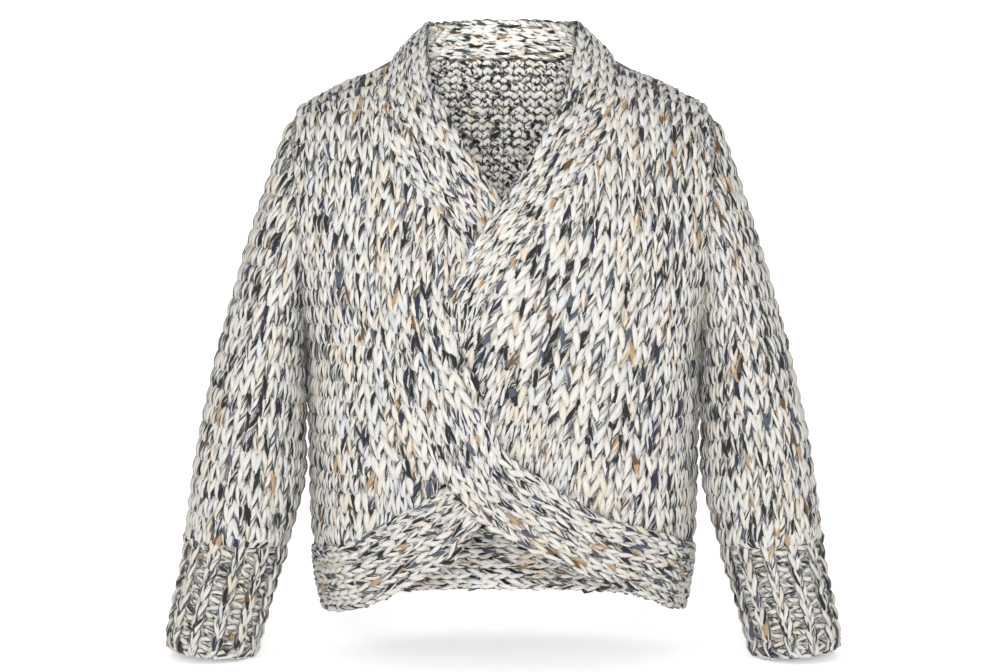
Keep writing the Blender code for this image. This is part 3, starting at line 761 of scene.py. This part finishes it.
for name, side in (("left", 1), ("right", -1)):
    node = name + "_sleeve"
    cloths[node], surfaces[node] = ground_cloth(node + "_cloth", node)
    low, high, axis, out, front_way = tube_frame(node, side)
    rows = []
    for row in range(-1, int(np.linalg.norm(high - low) * SLEEVE_REACH / ROW_PITCH)):
        ring = ring_at(surfaces[node][1], low + axis * row * ROW_PITCH, out, front_way)
        spots = np.full((2 * SLEEVE_EDGES + 1, 3), np.nan)
        if ring is not None:
            points, along_ring = ring
            wanted = np.clip(np.arange(-SLEEVE_EDGES, SLEEVE_EDGES + 1) * STITCH_WIDTH,
                             along_ring[0], along_ring[-1])
            spots = np.stack([np.interp(wanted, along_ring, values) for values in points.T], 1)
        rows.append(spots if side > 0 else spots[::-1])
    laid[node] = [lay_stitches(node + "_stitches", surfaces[node], np.array(rows), knit)]
    dress(node)


# The cuffs, picked up from the sleeves and knitted in a rib of one knit column and one purl column.

CUFF_COLUMNS = 24
CUFF_PITCH = 0.0176
CUFF_DEPTH = 0.0026
CUFF_GROUND_DEPTH = 0.0034
PURL_RIB_DEPTH = 0.0034     # the purl columns lie deeper than the knit ones
PURL_RIB_LOOP_DEPTH = 0.0014
CUFF_KNIT_RADIUS = 0.0031
CUFF_PURL_RADIUS = 0.0030
RIB_TURN = 0.25             # how far round the first knit column's edge lies, in columns

# One purl stitch of a rib, whole, on the scale of the tables above: two bars that the strand makes.
RIB_BARS = np.array((
    (-0.46, -0.40, -1.20, 0.70),
    (-0.30, -0.30, 0.60, 0.95),
    (0.00, -0.25, 1.00, 1.05),
    (0.32, -0.18, 0.60, 0.95),
    (0.44, 0.00, -1.00, 0.75),
    (0.30, 0.20, 0.60, 0.95),
    (0.00, 0.27, 1.00, 1.05),
    (-0.32, 0.30, 0.60, 0.95),
    (-0.46, 0.36, -1.20, 0.70),
))
CUFF_KNIT_LOOP = mirrored(KNIT_LOOP * np.array([1.12, 1.0, 1.0, 1.0]))

for name, side in (("left", 1), ("right", -1)):
    node = name + "_cuff"
    cloths[node], surfaces[node] = ground_cloth(node + "_cloth", node, depth=CUFF_GROUND_DEPTH)
    low, high, axis, out, front_way = tube_frame(node, side)
    length = np.linalg.norm(high - low)
    rows = round(length / CUFF_PITCH)
    lines = []
    for row in range(-1, rows + 2):
        ring = ring_at(surfaces[node][1], low + axis * length * row / rows, out, front_way)
        spots = np.full((CUFF_COLUMNS + 1, 3), np.nan)
        if ring is not None:
            points, along_ring = ring
            share = ((np.arange(CUFF_COLUMNS + 1) + RIB_TURN) / CUFF_COLUMNS + 0.5) % 1
            wanted = along_ring[0] + share * (along_ring[-1] - along_ring[0])
            spots = np.stack([np.interp(wanted, along_ring, values) for values in points.T], 1)
        lines.append(spots if side > 0 else spots[::-1])
    lattice = np.array(lines)
    knit_columns = np.arange(CUFF_COLUMNS) % 2 == (0 if side > 0 else 1)
    laid[node] = [
        lay_stitches(node + "_knit", surfaces[node], lattice, CUFF_KNIT_LOOP, depth=CUFF_DEPTH,
                     radius=CUFF_KNIT_RADIUS, columns=knit_columns),
        lay_stitches(node + "_purl", surfaces[node], lattice, RIB_BARS, depth=PURL_RIB_DEPTH,
                     loop_depth=PURL_RIB_LOOP_DEPTH, radius=CUFF_PURL_RADIUS, columns=~knit_columns)]
    dress(node)


# The bands round the neck, the crossing and the hem: one long strip knitted sideways and doubled over, so
# that the knit side shows on both faces and its columns run along the edge.

BAND_COLUMNS = 6
BAND_PITCH = 0.0150
BAND_RADIUS = 0.0031
INNER_FACE = 0.0048         # how deep under the outer surface the inner layer of a doubled band lies
BAND_CLOTH_THICKNESS = 0.0026
BAND_LOOP = mirrored(KNIT_LOOP * np.array([1.0, 1.0, 0.9, 1.0]))


def band_sides(surface):
    """The two long sides of a band's surface, as lines of points that run the same way."""
    loop = max(rims(surface), key=len)
    back_way, on_way = loop - np.roll(loop, 1, axis=0), np.roll(loop, -1, axis=0) - loop
    turning = np.sum(unit(back_way) * unit(on_way), axis=1)
    corners = sorted(np.argsort(turning)[:4])
    edges = []
    for start, end in zip(corners, corners[1:] + [corners[0] + len(loop)]):
        edges.append(loop[np.arange(start, end + 1) % len(loop)])
    edges.sort(key=lambda line: -np.sum(sizes(np.diff(line, axis=0))))
    first, second = edges[0], edges[1]
    if np.linalg.norm(first[0] - second[0]) > np.linalg.norm(first[0] - second[-1]):
        second = second[::-1]
    return first, second


def evenly(line, count):
    """Points at equal steps along a line, from end to end."""
    along_line = np.concatenate([[0], np.cumsum(sizes(np.diff(line, axis=0)))])
    wanted = np.linspace(0, along_line[-1], count)
    return np.stack([np.interp(wanted, along_line, values) for values in line.T], 1)


BANDS = (
    # node, roughly which way its stitches open, width, length and area of its flat cut, the panel it is knitted on
    ("right_front_band", (0, 0, 1), (0.070, 0.290), 0.0166, "right_front"),
    ("back_neck_band", (-1, 0, 0), (0.050, 0.250), 0.0120, "back"),
    ("left_front_band", (0, 0, 1), (0.060, 0.420), 0.0204, "left_front"),
    ("over_hem_band", (-1, 0, 0), (0.070, 0.352), 0.0239, "left_front"),
    ("under_hem_band", (1, 0, 0), (0.070, 0.280), 0.0179, "right_front"),
    ("back_hem_band", (-1, 0, 0), (0.072, 0.520), 0.0372, "back"),
)
for node, way, flat, area, carrier in BANDS:
    cloths[node], surfaces[node] = ground_cloth(node + "_cloth", node, thickness=BAND_CLOTH_THICKNESS)
    first, second = band_sides(skins(node)[0])
    length = (np.sum(sizes(np.diff(first, axis=0))) + np.sum(sizes(np.diff(second, axis=0)))) / 2
    rows = max(2, round(length / BAND_PITCH))
    first, second = evenly(first, rows + 1), evenly(second, rows + 1)
    if (first[-1] - first[0]) @ np.array(way) < 0:
        first, second = first[::-1], second[::-1]
    share = np.linspace(0, 1, BAND_COLUMNS + 1)[None, :, None]
    lattice = first[:, None] * (1 - share) + second[:, None] * share
    middle, following = lattice[rows // 2], lattice[rows // 2 + 1]
    _, normals = nearest(surfaces[node][0], middle)
    if np.cross(middle[-1] - middle[0], following[0] - middle[0]) @ normals[0] < 0:
        lattice = lattice[:, ::-1]
    laid[node] = [
        lay_stitches(node + "_stitches", surfaces[node], lattice, BAND_LOOP, radius=BAND_RADIUS),
        lay_stitches(node + "_inner_stitches", surfaces[node], lattice[:, ::-1], BAND_LOOP,
                     depth=INNER_FACE, facing=-1.0, radius=BAND_RADIUS, wool=inner_yarn)]
    dress(node)
